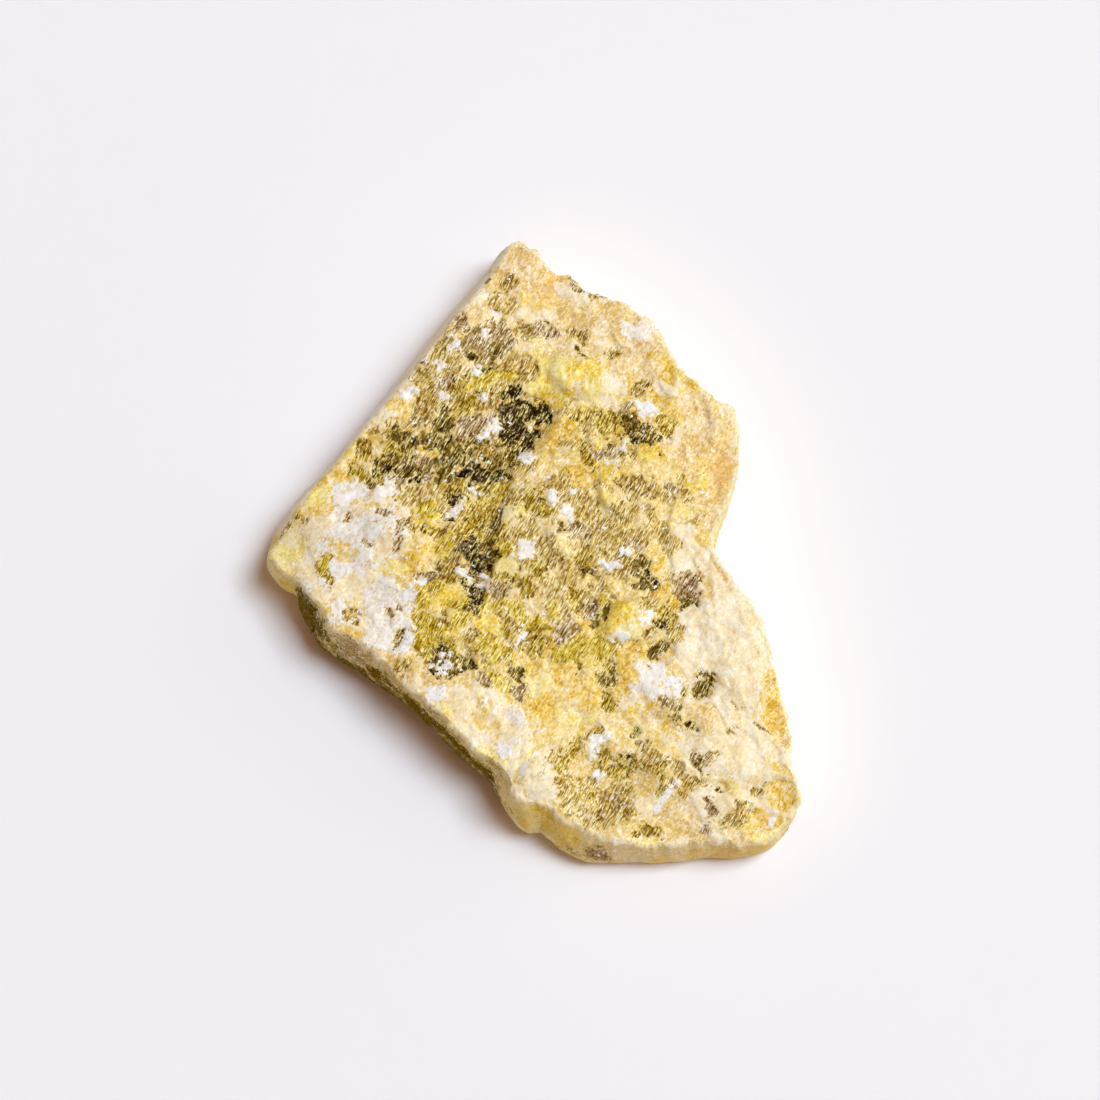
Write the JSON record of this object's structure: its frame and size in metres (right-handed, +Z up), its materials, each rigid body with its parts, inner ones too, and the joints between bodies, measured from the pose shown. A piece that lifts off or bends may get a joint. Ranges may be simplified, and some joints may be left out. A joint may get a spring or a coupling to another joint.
{
  "type": "rough chrysoberyl",
  "caption": "Loose slab of rough chrysoberyl, broken, with a cleaved long side, that lies flat on its even side.",
  "frame": {"origin": "under the middle of the slab's bounding box, on the surface it lies on", "axes": "+Z up out of the flat side, +Y towards the slab's pointed end along its longest extent, +X to the side with the bite"},
  "size_m": [0.0362, 0.0428, 0.0074],
  "materials": {
    "chrysoberyl": "broken, sugary, slightly translucent yellow-green to smoky olive mineral"
  },
  "bodies": {
    "root": {"stone": "chrysoberyl"}
  },
  "joints": []
}
